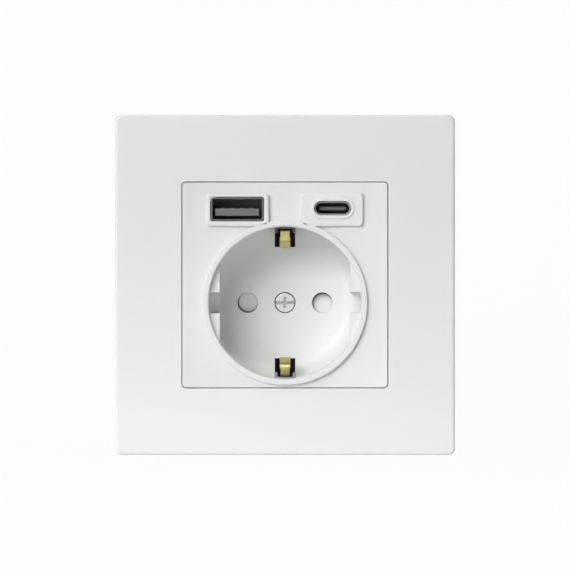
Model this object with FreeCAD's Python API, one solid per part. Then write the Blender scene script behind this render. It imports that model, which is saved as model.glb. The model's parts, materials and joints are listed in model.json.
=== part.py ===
import FreeCAD
import Part

import math
import os

# A flush wall socket outlet with a round two-pin recess, side earthing clips and two charging ports.
# The room is on the -Y side, the wall on the +Y side, and +Z is up. The origin is the middle of the
# 60 mm screw pitch, in the plane where the support ring lies against the wall. All sizes are in mm.

Vector = FreeCAD.Vector
INTO_WALL = Vector(0, 1, 0)

# Outer frame: a moulded square shell that hides the edge of the box.
frame_side = 86.0
frame_height = 10.0
frame_corner = 1.6
frame_edge_round = 0.7
frame_skirt = 2.0
frame_front_wall = 2.2
frame_collar_wall = 1.6
lip_width = 1.9
lip_thickness = 1.4
lip_clearance = 0.2
opening_edge_round = 0.2
rib_thickness = 1.2
rib_offset = 17.0

# Centre plate, one moulding with the recess, its rim and the two raised collars round the ports.
plate_margin = 0.65
plate_gap = 0.2
plate_corner = 0.9
plate_wall = 2.0
plate_skirt_wall = 1.4
plate_edge_round = 0.2

rim_raise = 1.0
rim_round = 0.5
rim_inner_round = 0.35
recess_z = -4.5
recess_radius = 19.55
recess_wall = 1.25
recess_depth = 17.5
recess_draft = 0.2
recess_fillet = 5.0
recess_base = 2.0
flat_inset = 3.05
flat_start = 1.0
groove_width = 5.3
bowl_clearance = 0.3

pin_pitch = 19.0
pin_hole_radius = 2.6
pin_radius = 2.4
pin_length = 19.0

window_width = 5.2
window_inset = 5.35
window_depth = 5.0

# Raised collars and the ports in them.
collar_width = 15.8
collar_height = 8.4
collar_corner = 1.0
collar_round = 0.5
collar_x = 11.9
collar_drop = 0.15
port_sleeve_wall = 0.9
port_sleeve_depth = 4.5

usb_a_x = -12.1
port_rise = 4.15
usb_a_mouth_width = 12.5
usb_a_mouth_height = 5.12
usb_a_sheet = 0.4
usb_a_clearance = 0.15
usb_a_setback = 0.2
usb_a_latch_width = 1.8
usb_a_latch_length = 3.5
usb_a_latch_x = 3.2
usb_a_latch_depth = 3.0
usb_a_tongue_gap = 0.82
usb_a_tongue_width = 11.2
usb_a_tongue_thickness = 1.9
usb_a_tongue_setback = 1.1
usb_a_block_depth = 1.6
usb_a_peg_x = 3.5
usb_a_peg_radius = 0.6
usb_a_contact_pitch = 2.4
usb_a_contact_width = 1.0
usb_a_contact_setback = 2.5

usb_c_x = 12.05
usb_c_rise = 0.2
usb_c_mouth_width = 8.5
usb_c_mouth_height = 2.7
usb_c_sheet = 0.35
usb_c_clearance = 0.1
usb_c_setback = 1.1
usb_c_lip_width = 11.0
usb_c_lip_height = 5.4
usb_c_lip_raise = 0.25
usb_c_tongue_width = 6.7
usb_c_tongue_thickness = 0.7
usb_c_tongue_setback = 1.0
usb_c_block_depth = 3.0
usb_c_contact_count = 12
usb_c_contact_pitch = 0.5
usb_c_contact_width = 0.25
usb_c_contact_setback = 1.0
contact_strip = 0.15
insulator_clearance = 0.02

# Centre screw and the child-safety shutter that turns on its boss.
screw_head_radius = 2.5
screw_head_height = 1.5
screw_shank_radius = 1.7
screw_head_sink = 0.15
screw_head_round = 0.2
screw_clearance = 0.2
screw_slot_width = 0.65
screw_slot_depth = 0.8
screw_cross_length = 2.7
screw_tip_chamfer = 0.5
screw_tip_length = 1.5
boss_wall = 1.7
shutter_skin = 0.9
shutter_gap = 0.15
shutter_thickness = 2.8
shutter_hub_radius = 5.8
shutter_paddle_radius = 3.2
shutter_running_gap = 0.1
shutter_web_width = 4.0
ramp_depth = 1.9
ramp_start = 0.2
cage_floor = 1.2
cage_wall = 0.7
stake_radius = 1.1
stake_circle = 10.6
stake_angle = 50.0
spring_wire = 0.4
spring_turns = 2.5
spring_pitch = 0.45
spring_radius = 4.9
spring_clearance = 0.1
spring_pocket_depth = 1.6

# Earthing strap, its guard channels, and the two pin contacts.
strap_thickness = 1.0
strap_width = 7.0
tongue_thickness = 0.6
tongue_width = 2.7
tongue_tip_width = 2.3
strap_hide = 0.6
tongue_root_inset = 3.15
tongue_crest_inset = 5.9
tongue_knee_inset = 3.35
tongue_tip_inset = 1.25
tongue_crest_depth = 11.6
tongue_knee_depth = 8.6
tongue_tip_depth = 7.0
tongue_bend = 1.0
guard_width = 5.1
guard_sheet = 0.6
guard_flange = 1.65
guard_inset = 0.1
guard_front_depth = 8.0
guard_clearance = 0.1
strap_boss_radius = 2.8
strap_boss_length = 2.4
thread_clearance = 0.05
tab_inset = 1.0
contact_sheet = 0.7
contact_tail_inner = 1.0
contact_tail_outer = 2.75
contact_leaf_width = 4.0
contact_grip = 2.25
contact_root = 3.3
contact_flare = 3.5
contact_bend = 0.8
contact_grip_depth = 3.4
contact_mouth_gap = 0.8
contact_tab_length = 3.0
contact_tail_overlap = 1.0

# Terminals in a row under the pin contacts.
terminal_pitch = 11.5
terminal_width = 7.0
terminal_height = 7.5
terminal_length = 9.4
terminal_corner_gap = 0.95
wire_radius = 1.8
wire_entry_radius = 2.1
terminal_screw_radius = 1.5
terminal_screw_head_radius = 2.4
terminal_screw_head_height = 1.7
terminal_screw_length = 4.4
terminal_screw_clearance = 0.05
terminal_screw_setback = 4.4
terminal_screw_tip_gap = 0.1
terminal_screw_way_gap = 0.4
terminal_round = 0.5

# Support ring of sheet steel with two hinged claws.
ring_edge = 2.5
ring_sheet = 1.0
ring_corner = 6.0
port_clearance = 0.7
box_screw_pitch = 60.0
box_slot_radius = 1.8
box_slot_length = 6.0
claw_z = 0.0
claw_width = 7.6
claw_sheet = 1.4
claw_length = 20.0
claw_tooth = 0.9
claw_tooth_length = 2.6
claw_notch_depth = 2.2
claw_notch_count = 3
claw_pivot_offset = 4.7
claw_pivot_y = 6.0
claw_pin_radius = 0.8
claw_pin_clearance = 0.05
claw_pin_overhang = 0.3
claw_knuckle_radius = 1.5
ear_sheet = 1.0
ear_gap = 0.2
ear_inner = 2.2
ear_outer = 1.4
ear_tip = 1.8
ear_round = 1.2
claw_lever = 3.1
claw_screw_radius = 1.5
claw_screw_tip_radius = 0.7
claw_screw_tip_length = 0.8
claw_screw_head_radius = 2.4
claw_screw_head_height = 1.8
claw_screw_travel = 1.2
claw_screw_clearance = 0.05
claw_screw_head_gap = 0.2
claw_screw_head_round = 0.4
claw_collar_wall = 0.9
claw_collar_length = 1.5
claw_heel_depth = 1.0
claw_heel_overhang = 0.6
heel_gap = 0.1

# Body housing behind the ring, and its rear cover.
body_bowl_gap = 1.7
body_bottom_flat = 1.5
body_wall = 1.5
body_bottom_wall = 1.3
body_rear_gap = 0.8
rear_cover_thickness = 1.8
deck_thickness = 1.6
deck_gap = 0.3
partition_wall = 1.5
column_radius = 2.0
upper_column_inset = 1.2
upper_column_z = 11.5
lower_column_inset = 1.83
small_screw_radius = 1.1
small_screw_length = 7.0
small_screw_head_radius = 1.9
small_screw_head_height = 1.3
small_screw_head_round = 0.5
small_screw_cross_width = 0.6
small_screw_cross_length = 2.2
small_screw_cross_depth = 0.7
small_screw_clearance = 0.05
pilot_spare = 0.5
fit_gap = 0.3
cover_edge_round = 0.6
post_x = 16.0
post_radius = 1.2

# Charger electronics.
board_sheet = 1.2
board_gap = 0.3
usb_board_y = 0.3
power_board_sheet = 1.4
power_board_bottom_z = 0.5
power_board_margin = 1.2
link_pin_count = 6
link_pin_pitch = 2.54
link_pin_side = 0.6
link_pin_drop = 4.3
link_pin_stub = 0.2
link_pin_clearance = 0.05
core_width = 16.0
core_depth = 11.0
core_height = 5.0
core_leg = 3.0
core_yoke = 2.7
core_drop = 8.9
winding_height = 7.4
winding_round = 1.6
winding_gap = 0.1
can_x = 13.2
can_drop = 9.5
can_radius = 3.15
can_round = 0.4
can_groove_depth = 0.35
can_groove = (1.6, 2.2)
input_can_length = 15.0
output_can_length = 11.0
fuse_x = -12.8
fuse_z = 5.9
fuse_length = 7.0
fuse_radius = 1.5
fuse_cap_radius = 1.8
fuse_cap_length = 1.8
fuse_height = 2.2
fuse_leg = 0.8
safety_capacitor_x = 0.5
safety_capacitor_gap = 1.5
safety_capacitor_size = (12.0, 8.5, 4.8)
safety_capacitor_round = 0.5
rectifier_x = 13.2
rectifier_z = 6.6
rectifier_size = (4.8, 2.4, 4.0)
rectifier_round = 0.3
chip_x = 0.5
chip_z = 4.2
chip_size = (5.0, 0.7, 4.0)
chip_round = 0.2

# Places along Y that follow from the sizes above.
wall_y = 0.0
face_y = wall_y - frame_height
rim_y = face_y - rim_raise
plate_back_y = face_y + plate_wall
base_y = rim_y + recess_depth
base_back_y = base_y + recess_base
ring_front_y = wall_y - ring_sheet
claw_screw_seat_y = ring_front_y - claw_screw_travel - claw_screw_head_gap
claw_screw_head_y = claw_screw_seat_y - claw_screw_head_height
lip_back_y = claw_screw_head_y - lip_clearance
lip_front_y = lip_back_y - lip_thickness
shutter_y = base_y + shutter_skin + shutter_gap
shutter_back_y = shutter_y + shutter_thickness
cage_y = shutter_back_y + shutter_gap
cage_back_y = cage_y + cage_floor
strap_y = cage_back_y + deck_gap
strap_back_y = strap_y + strap_thickness
deck_y = strap_back_y
deck_back_y = deck_y + deck_thickness
pin_tip_y = base_y + pin_length
contact_back_y = pin_tip_y + contact_sheet + deck_gap
power_board_y = contact_back_y + deck_gap
power_board_back_y = power_board_y + power_board_sheet
body_back_y = power_board_back_y + body_rear_gap
cover_back_y = body_back_y + rear_cover_thickness
terminal_back_y = body_back_y - deck_gap
terminal_y = terminal_back_y - terminal_length
terminal_screw_y = terminal_back_y - terminal_screw_setback
usb_board_back_y = usb_board_y + board_sheet
claw_y = claw_pivot_y + claw_heel_depth
guard_front_y = rim_y + guard_front_depth

# Sizes across the front that follow.
pin_x = pin_pitch / 2
rim_radius = recess_radius + recess_wall
bowl_reach = abs(recess_z) + rim_radius
plate_side = 2 * (bowl_reach + plate_margin)
opening_side = plate_side + 2 * plate_gap
lip_opening = opening_side - 2 * lip_width
flat_half_width = recess_radius - flat_inset
window_inner_radius = recess_radius - window_inset
tongue_root_radius = recess_radius - tongue_root_inset
tongue_crest_radius = recess_radius - tongue_crest_inset
tongue_knee_radius = recess_radius - tongue_knee_inset
tongue_tip_radius = recess_radius - tongue_tip_inset
guard_outer_radius = recess_radius - guard_inset
usb_a_z = recess_z + recess_radius + port_rise
usb_c_z = usb_a_z + usb_c_rise
collar_z = usb_a_z - collar_drop
boss_radius = screw_shank_radius + screw_clearance + boss_wall
cage_inner_radius = pin_x + shutter_paddle_radius + fit_gap
cage_radius = cage_inner_radius + cage_wall
body_radius = bowl_reach + body_bowl_gap + body_wall
body_inner_half_width = rim_radius + fit_gap
body_half_width = body_inner_half_width + body_wall
body_bottom_z = body_bottom_flat - body_radius
terminal_corner_x = terminal_pitch + terminal_width / 2
terminal_corner_z = math.sqrt((body_radius - body_wall) ** 2 - terminal_corner_x ** 2)
terminal_bottom_z = terminal_corner_gap - terminal_corner_z
terminal_top_z = terminal_bottom_z + terminal_height
terminal_z = terminal_bottom_z + terminal_height / 2
terminal_places = (-terminal_pitch, 0, terminal_pitch)
upper_column = (body_inner_half_width - upper_column_inset, upper_column_z)
lower_column_x = terminal_corner_x + fit_gap + column_radius
lower_column_z = -math.sqrt((body_radius - lower_column_inset) ** 2 - lower_column_x ** 2)
lower_column = (lower_column_x, lower_column_z)
ring_side = box_screw_pitch + box_slot_length + 2 * ring_edge
claw_pivot_x = body_half_width + claw_pivot_offset
claw_screw_x = claw_pivot_x - claw_lever
claw_collar_radius = claw_screw_radius + claw_collar_wall
core_z = body_radius - core_drop
can_z = body_radius - can_drop
link_pin_z = body_radius - link_pin_drop
power_board_top_z = link_pin_z + power_board_margin
deck_top_z = core_z - winding_height / 2 - board_gap
post_z = deck_top_z - post_radius
partition_z = deck_top_z - partition_wall
safety_capacitor_z = partition_z - safety_capacitor_gap - safety_capacitor_size[2] / 2
usb_a_width = usb_a_mouth_width + 2 * usb_a_sheet
usb_a_height = usb_a_mouth_height + 2 * usb_a_sheet
usb_c_width = usb_c_mouth_width + 2 * usb_c_sheet
usb_c_height = usb_c_mouth_height + 2 * usb_c_sheet
usb_a_front_y = rim_y + usb_a_setback
usb_c_front_y = rim_y + usb_c_setback


# Building blocks.
def block(x_range, y_range, z_range):
    """A box between the two ends given for each axis."""
    low = Vector(min(x_range), min(y_range), min(z_range))
    high = Vector(max(x_range), max(y_range), max(z_range))
    size = high - low
    return Part.makeBox(size.x, size.y, size.z, low)


def rod(x, z, radius, y_start, y_end):
    """A round bar along Y."""
    return Part.makeCylinder(radius, y_end - y_start, Vector(x, y_start, z), INTO_WALL)


def rounded_outline(x, z, width, height, corner, y):
    """A face in the plane of y: a rectangle with round corners, or a stadium."""
    straight_x = width / 2 - corner
    straight_z = height / 2 - corner
    corners = [(1, 1, 0), (-1, 1, 90), (-1, -1, 180), (1, -1, 270)]
    arcs = []
    for side_x, side_z, start in corners:
        middle = Vector(x + side_x * straight_x, y, z + side_z * straight_z)
        points = []
        for turn in (0, 45, 90):
            angle = math.radians(start + turn)
            points.append(middle + Vector(math.cos(angle), 0, math.sin(angle)) * corner)
        arcs.append(points)
    edges = []
    for index, points in enumerate(arcs):
        edges.append(Part.Arc(*points).toShape())
        following = arcs[(index + 1) % len(arcs)][0]
        if points[2].distanceToPoint(following) > 1e-6:
            edges.append(Part.LineSegment(points[2], following).toShape())
    return Part.Face(Part.Wire(edges))


def rounded_bar(x, z, width, height, corner, y_start, y_end):
    """A bar along Y with a round-cornered section."""
    outline = rounded_outline(x, z, width, height, corner, y_start)
    return outline.extrude(Vector(0, y_end - y_start, 0))


def edges_at(shape, y, inside=None):
    """The edges that lie in the plane of y, all of them or those within a half size of the middle."""
    found = []
    for edge in shape.Edges:
        box = edge.BoundBox
        if abs(box.YMin - y) > 1e-5 or abs(box.YMax - y) > 1e-5:
            continue
        reach = max(abs(box.XMin), abs(box.XMax), abs(box.ZMin), abs(box.ZMax))
        if inside is None or reach < inside:
            found.append(edge)
    return found


def bent_sheet(points, thickness, bend, width_range):
    """A bent strip: (y, z) points of its middle line, rounded at the corners, extruded along X."""
    line = [Vector(0, y, z) for y, z in points]
    half = thickness / 2
    sides = ([], [])
    for index, point in enumerate(line):
        before = (point - line[index - 1]).normalize() if index else None
        after = (line[index + 1] - point).normalize() if index + 1 < len(line) else None
        if before is None or after is None:
            along = after if before is None else before
            normal = Vector(0, -along.z, along.y)
            for side, sign in zip(sides, (1, -1)):
                side.append([point + normal * half * sign])
            continue
        turn = before.getAngle(after)
        reach = bend * math.tan(turn / 2)
        left_turn = before.y * after.z - before.z * after.y > 0
        starts = point - before * reach
        ends = point + after * reach
        normal_in = Vector(0, -before.z, before.y)
        normal_out = Vector(0, -after.z, after.y)
        middle = starts + normal_in * (bend if left_turn else -bend)
        outward = (point - middle).normalize()
        for side, sign in zip(sides, (1, -1)):
            inner = (sign > 0) == left_turn
            radius = bend - half if inner else bend + half
            first = starts + normal_in * half * sign
            last = ends + normal_out * half * sign
            side.append([first, middle + outward * radius, last])
    edges = []
    outline = sides[0] + [list(reversed(corner)) for corner in reversed(sides[1])]
    for index, corner in enumerate(outline):
        if len(corner) == 3:
            edges.append(Part.Arc(*corner).toShape())
        following = outline[(index + 1) % len(outline)][0]
        edges.append(Part.LineSegment(corner[-1], following).toShape())
    low, high = width_range
    face = Part.Face(Part.Wire(edges))
    face.translate(Vector(low, 0, 0))
    return face.extrude(Vector(high - low, 0, 0))


def mirrored(shape):
    """The same shape on the other side of the plane x = 0."""
    return shape.mirror(Vector(0, 0, 0), Vector(1, 0, 0))


def turned_half(shape):
    """The shape turned half round about the recess axis."""
    copy = shape.copy()
    copy.rotate(Vector(0, 0, recess_z), INTO_WALL, 180)
    return copy


def column_places():
    """Where the four screw columns of the body stand, as (x, z)."""
    places = []
    for x, z in (upper_column, lower_column):
        places += [(x, z), (-x, z)]
    return places


def stake_places():
    """Where the two stakes that hold the shutter cage stand, as (x, z)."""
    places = []
    for angle in (math.radians(stake_angle), math.radians(stake_angle) + math.pi):
        places.append((stake_circle * math.cos(angle), recess_z + stake_circle * math.sin(angle)))
    return places


# Outer frame.
def make_cover_frame():
    shell = rounded_bar(0, 0, frame_side, frame_side, frame_corner, face_y, wall_y)
    shell = shell.makeFillet(frame_edge_round, edges_at(shell, face_y))
    inner_side = frame_side - 2 * frame_skirt
    hollow = rounded_bar(0, 0, inner_side, inner_side, frame_corner / 2, face_y + frame_front_wall, wall_y + 1)
    shell = shell.cut(hollow)
    collar_side = opening_side + 2 * frame_collar_wall
    collar = rounded_bar(0, 0, collar_side, collar_side, plate_corner + 1, face_y + 1, lip_back_y)
    collar_half = collar_side / 2
    ribs = []
    for offset in (-rib_offset, rib_offset):
        for start, end in ((collar_half - 0.5, inner_side / 2 + 0.5), (-collar_half + 0.5, -inner_side / 2 - 0.5)):
            depth = (face_y + frame_front_wall - 0.5, ring_front_y)
            thick = (offset - rib_thickness / 2, offset + rib_thickness / 2)
            ribs.append(block((start, end), depth, thick))
            ribs.append(block(thick, depth, (start, end)))
    frame = shell.fuse([collar] + ribs)
    opening = rounded_bar(0, 0, opening_side, opening_side, plate_corner + plate_gap, face_y - 1, lip_front_y)
    through = rounded_bar(0, 0, lip_opening, lip_opening, plate_corner, face_y - 1, wall_y + 1)
    bowl_way = rod(0, recess_z, rim_radius + bowl_clearance, face_y - 1, wall_y + 1)
    frame = frame.cut(opening.fuse([through, bowl_way])).removeSplitter()
    return frame.makeFillet(opening_edge_round, edges_at(frame, face_y, opening_side / 2 + 0.1))


# Centre plate.
def make_recess_hollow():
    """The free space of the recess: a round bowl with a soft rim, and a flat and a groove on each side."""
    mouth = rim_y - 1
    wall_angle = math.atan2(recess_draft, recess_depth)
    base_radius = recess_radius - recess_draft
    fillet_turn = (math.pi / 2 - wall_angle)
    fillet_reach = recess_fillet * math.tan(fillet_turn / 2)
    flat_end = base_radius - fillet_reach
    fillet_middle = Vector(flat_end, base_y - recess_fillet, 0)
    bisect = math.pi / 2 - fillet_turn / 2
    arc_middle = fillet_middle + Vector(math.cos(bisect), math.sin(bisect), 0) * recess_fillet
    arc_end = fillet_middle + Vector(math.cos(wall_angle), math.sin(wall_angle), 0) * recess_fillet
    wall_end = Vector(recess_radius - rim_inner_round * math.tan(wall_angle), rim_y + rim_inner_round, 0)
    rim_middle = wall_end + Vector(1 - math.sqrt(0.5), -math.sqrt(0.5), 0) * rim_inner_round
    rim_end = wall_end + Vector(1, -1, 0) * rim_inner_round
    middle_line = (Vector(0, mouth, 0), Vector(0, base_y, 0))
    floor_end = Vector(flat_end, base_y, 0)
    mouth_end = Vector(rim_end.x, mouth, 0)
    edges = [Part.LineSegment(*middle_line).toShape()]
    edges.append(Part.LineSegment(middle_line[1], floor_end).toShape())
    edges.append(Part.Arc(floor_end, arc_middle, arc_end).toShape())
    edges.append(Part.LineSegment(arc_end, wall_end).toShape())
    edges.append(Part.Arc(wall_end, rim_middle, rim_end).toShape())
    edges.append(Part.LineSegment(rim_end, mouth_end).toShape())
    edges.append(Part.LineSegment(mouth_end, middle_line[0]).toShape())
    bowl = Part.Face(Part.Wire(edges)).revolve(Vector(0, 0, 0), INTO_WALL, 360)
    bowl.translate(Vector(0, 0, recess_z))
    reach = 2 * recess_radius
    tall = (recess_z - reach, recess_z + reach)
    middle = block((-flat_half_width, flat_half_width), (mouth, base_y), tall)
    groove_z = (recess_z - groove_width / 2, recess_z + groove_width / 2)
    groove = block((-reach, reach), (mouth, base_y), groove_z)
    top = block((-reach, reach), (mouth, rim_y + flat_start), tall)
    return bowl.common(middle.fuse([groove, top])).removeSplitter()


def make_port_collar(x):
    """A raised, round-edged island on the plate."""
    collar = rounded_bar(x, collar_z, collar_width, collar_height, collar_corner, rim_y, plate_back_y)
    return collar.makeFillet(collar_round, edges_at(collar, rim_y))


def make_centre_plate():
    plate = rounded_bar(0, 0, plate_side, plate_side, plate_corner, face_y, plate_back_y)
    plate = plate.makeFillet(plate_edge_round, edges_at(plate, face_y))
    skirt = rounded_bar(0, 0, plate_side, plate_side, plate_corner, plate_back_y, lip_front_y)
    inner = plate_side - 2 * plate_skirt_wall
    skirt = skirt.cut(rounded_bar(0, 0, inner, inner, plate_corner / 2, plate_back_y - 1, lip_front_y + 1))
    bowl = rod(0, recess_z, rim_radius, rim_y, base_back_y)
    bowl = bowl.makeFillet(rim_round, edges_at(bowl, rim_y))
    usb_c_lip = rounded_bar(
        usb_c_x, usb_c_z, usb_c_lip_width, usb_c_lip_height, usb_c_lip_height / 2,
        rim_y - usb_c_lip_raise, face_y,
    )
    usb_c_lip = usb_c_lip.makeFillet(usb_c_lip_raise * 0.8, edges_at(usb_c_lip, rim_y - usb_c_lip_raise))
    usb_a_hole = (usb_a_width + 2 * usb_a_clearance, usb_a_height + 2 * usb_a_clearance)
    usb_c_hole = (usb_c_width + 2 * usb_c_clearance, usb_c_height + 2 * usb_c_clearance)
    sleeve_y = (plate_back_y - 1, plate_back_y + port_sleeve_depth)
    sleeves = []
    holes = []
    for x, z, hole, corner in (
        (usb_a_x, usb_a_z, usb_a_hole, usb_a_sheet + usb_a_clearance),
        (usb_c_x, usb_c_z, usb_c_hole, usb_c_hole[1] / 2),
    ):
        wall = 2 * port_sleeve_wall
        sleeves.append(rounded_bar(x, z, hole[0] + wall, hole[1] + wall, corner + port_sleeve_wall, *sleeve_y))
        holes.append(rounded_bar(x, z, hole[0], hole[1], corner, rim_y - 1, sleeve_y[1] + 1))
    solids = [skirt, bowl, usb_c_lip, make_port_collar(-collar_x), make_port_collar(collar_x)]
    part = plate.fuse(solids + sleeves)
    cuts = [make_recess_hollow()] + holes
    cuts.append(rod(0, recess_z, cage_inner_radius, base_y + shutter_skin, base_back_y + 1))
    for x in (-pin_x, pin_x):
        cuts.append(rod(x, recess_z, pin_hole_radius, base_y - 1, base_back_y + 1))
    window_x = (-window_width / 2, window_width / 2)
    channel_half = guard_width / 2 + guard_clearance
    channel_x = (-channel_half, channel_half)
    channel_radius = guard_outer_radius + guard_clearance
    for side in (1, -1):
        window_z = (recess_z + side * window_inner_radius, recess_z + side * channel_radius)
        cuts.append(block(window_x, (base_y - window_depth, base_back_y + 1), window_z))
        channel_z = (recess_z + side * (channel_radius - guard_flange), recess_z + side * channel_radius)
        cuts.append(block(channel_x, (guard_front_y - guard_clearance, base_back_y + 1), channel_z))
    for cut in cuts:
        part = part.cut(cut)
    added = [rod(0, recess_z, boss_radius, base_y + shutter_skin / 2, cage_back_y)]
    for place in stake_places():
        added.append(rod(place[0], place[1], stake_radius, base_y + shutter_skin / 2, cage_back_y))
    part = part.fuse(added)
    head_seat_y = base_y + screw_head_sink + screw_head_height
    part = part.cut(rod(0, recess_z, screw_head_radius + screw_clearance, base_y - 1, head_seat_y))
    part = part.cut(rod(0, recess_z, screw_shank_radius + screw_clearance, base_y - 1, cage_back_y + 1))
    return part.removeSplitter()


def make_centre_screw():
    top_y = base_y + screw_head_sink
    seat_y = top_y + screw_head_height
    end_y = strap_back_y + strap_boss_length + screw_tip_length
    head = rod(0, recess_z, screw_head_radius, top_y, seat_y)
    head = head.makeFillet(screw_head_round, edges_at(head, top_y))
    shank = rod(0, recess_z, screw_shank_radius, seat_y, end_y)
    shank = shank.makeChamfer(screw_tip_chamfer, edges_at(shank, end_y))
    half = screw_slot_width / 2
    low, high = recess_z - half, recess_z + half
    cut_y = (top_y - 1, top_y + screw_slot_depth)
    slot = block((-screw_head_radius - 1, screw_head_radius + 1), cut_y, (low, high))
    arm = screw_cross_length / 2
    cross = block((-half, half), cut_y, (recess_z - arm, recess_z + arm))
    return head.fuse(shank).cut(slot.fuse(cross)).removeSplitter()


# Shutter, its cage and spring.
def make_shutter():
    """Two ramped paddles on a hub. A pair of pins pushes the ramps and turns the paddles aside."""
    hub = rod(0, recess_z, shutter_hub_radius, shutter_y, shutter_back_y)
    paddle = rod(pin_x, recess_z, shutter_paddle_radius, shutter_y, shutter_back_y)
    half = shutter_web_width / 2
    web = block((0, pin_x), (shutter_y, shutter_back_y), (recess_z - half, recess_z + half))
    paddle = paddle.fuse(web)
    low_z = recess_z - shutter_paddle_radius
    high_z = recess_z + shutter_paddle_radius
    inner_x = shutter_hub_radius + ramp_start
    outer_x = pin_x + 2 * shutter_paddle_radius
    wedge_points = [
        Vector(inner_x, shutter_y, low_z),
        Vector(inner_x, shutter_y - 1, low_z),
        Vector(inner_x, shutter_y - 1, high_z),
        Vector(inner_x, shutter_y + ramp_depth, high_z),
    ]
    wedge = Part.Face(Part.makePolygon(wedge_points + wedge_points[:1]))
    wedge = wedge.extrude(Vector(outer_x - inner_x, 0, 0))
    paddle = paddle.cut(wedge)
    shutter = hub.fuse([paddle, turned_half(paddle)])
    bore = rod(0, recess_z, boss_radius + shutter_running_gap, shutter_y - 1, shutter_back_y + 1)
    pocket_y = shutter_back_y - spring_pocket_depth
    pocket = rod(0, recess_z, spring_radius + spring_clearance, pocket_y, shutter_back_y + 1)
    return shutter.cut(bore).cut(pocket).removeSplitter()


def make_shutter_spring():
    """A small torsion spring in the hub's pocket, round the boss."""
    coil_radius = spring_radius - spring_wire / 2
    path = Part.makeHelix(spring_pitch, spring_turns * spring_pitch, coil_radius)
    section = Part.Wire(Part.makeCircle(spring_wire / 2, Vector(coil_radius, 0, 0), Vector(0, 1, 0)))
    coil = Part.Wire(path).makePipeShell([section], True, True)
    coil.rotate(Vector(0, 0, 0), Vector(1, 0, 0), -90)
    start_y = shutter_back_y - spring_pocket_depth + spring_wire / 2 + spring_clearance / 2
    coil.translate(Vector(0, start_y, recess_z))
    return coil


def make_shutter_cage():
    """A shallow cup staked to the back of the recess, which keeps the shutter in place."""
    cup = rod(0, recess_z, cage_radius, base_back_y, cage_back_y)
    cup = cup.cut(rod(0, recess_z, cage_inner_radius, base_back_y - 1, cage_y))
    cup = cup.cut(rod(0, recess_z, boss_radius + shutter_running_gap, cage_y - 1, cage_back_y + 1))
    for x in (-pin_x, pin_x):
        cup = cup.cut(rod(x, recess_z, pin_hole_radius + fit_gap, cage_y - 1, cage_back_y + 1))
    for x, z in stake_places():
        cup = cup.cut(rod(x, z, stake_radius + thread_clearance, cage_y - 1, cage_back_y + 1))
    return cup


# Earthing strap and guards.
def make_tongue():
    """The upper spring tongue: up from the bridge, in to its crest, then out to its free tip."""
    middle_y = (strap_y + strap_back_y) / 2
    crest_y = rim_y + tongue_crest_depth
    knee_y = rim_y + tongue_knee_depth
    tip_y = rim_y + tongue_tip_depth
    half = tongue_thickness / 2
    points = [
        (middle_y, recess_z + tongue_root_radius / 2),
        (middle_y, recess_z + tongue_root_radius),
        (base_y, recess_z + tongue_root_radius),
        (crest_y, recess_z + tongue_crest_radius + half),
        (knee_y, recess_z + tongue_knee_radius),
        (tip_y, recess_z + tongue_tip_radius),
    ]
    strip = bent_sheet(points, tongue_thickness, tongue_bend, (-tongue_width / 2, tongue_width / 2))
    narrow_y = (tip_y - 1, knee_y)
    z_range = (recess_z + tongue_crest_radius - 1, recess_z + tongue_tip_radius + 1)
    for side in (1, -1):
        edge = (side * tongue_tip_width / 2, side * tongue_width)
        strip = strip.cut(block(edge, narrow_y, z_range))
    return strip


def make_earth_strap():
    reach = tongue_root_radius - tongue_bend
    wide_reach = window_inner_radius - strap_hide
    half = strap_width / 2
    bridge = block((-half, half), (strap_y, strap_back_y), (recess_z - wide_reach, recess_z + wide_reach))
    neck_x = (-tongue_width / 2, tongue_width / 2)
    neck = block(neck_x, (strap_y, strap_back_y), (recess_z - reach, recess_z + reach))
    boss_end = strap_back_y + strap_boss_length
    boss = rod(0, recess_z, strap_boss_radius, strap_y, boss_end)
    tongue = make_tongue()
    tab_half = terminal_width / 2 - tab_inset
    tab_z = (terminal_top_z, terminal_top_z + strap_thickness)
    tab = block((-tab_half, tab_half), (strap_y, terminal_back_y - tab_inset), tab_z)
    strap = bridge.fuse([neck, boss, tongue, turned_half(tongue), tab])
    hole = rod(0, recess_z, screw_shank_radius + thread_clearance, strap_y - 1, boss_end + 1)
    return strap.cut(hole).removeSplitter()


def make_earth_guard():
    """The upper guard: a steel channel that stands behind the tongue and protects it."""
    outer = recess_z + guard_outer_radius
    half = guard_width / 2
    back = block((-half, half), (guard_front_y, deck_y), (outer - guard_sheet, outer))
    sides = []
    for side in (1, -1):
        edge = (side * half, side * (half - guard_sheet))
        sides.append(block(edge, (guard_front_y, deck_y), (outer - guard_flange, outer)))
    return back.fuse(sides).removeSplitter()


# Pin contacts and terminals.
def make_pin_contact():
    """The right-hand contact: a web behind the pin, two gripping leaves and a tail to its terminal."""
    web_y = contact_back_y - contact_sheet / 2
    front_y = deck_back_y + contact_mouth_gap
    grip_y = front_y + contact_grip_depth
    half = contact_sheet / 2
    leaf = [
        (web_y, recess_z),
        (web_y, recess_z + contact_root),
        (grip_y, recess_z + contact_grip + half),
        (front_y, recess_z + contact_flare),
    ]
    x_range = (pin_x - contact_leaf_width / 2, pin_x + contact_leaf_width / 2)
    upper = bent_sheet(leaf, contact_sheet, contact_bend, x_range)
    lower = bent_sheet([(y, 2 * recess_z - z) for y, z in leaf], contact_sheet, contact_bend, x_range)
    tail_x = (pin_x - contact_tail_inner, pin_x + contact_tail_outer)
    tail_line = [
        (web_y, power_board_bottom_z + contact_tab_length),
        (web_y, terminal_top_z + half),
        (terminal_y + contact_tail_overlap, terminal_top_z + half),
    ]
    tail = bent_sheet(tail_line, contact_sheet, contact_bend, tail_x)
    return upper.fuse([lower, tail]).removeSplitter()


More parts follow.
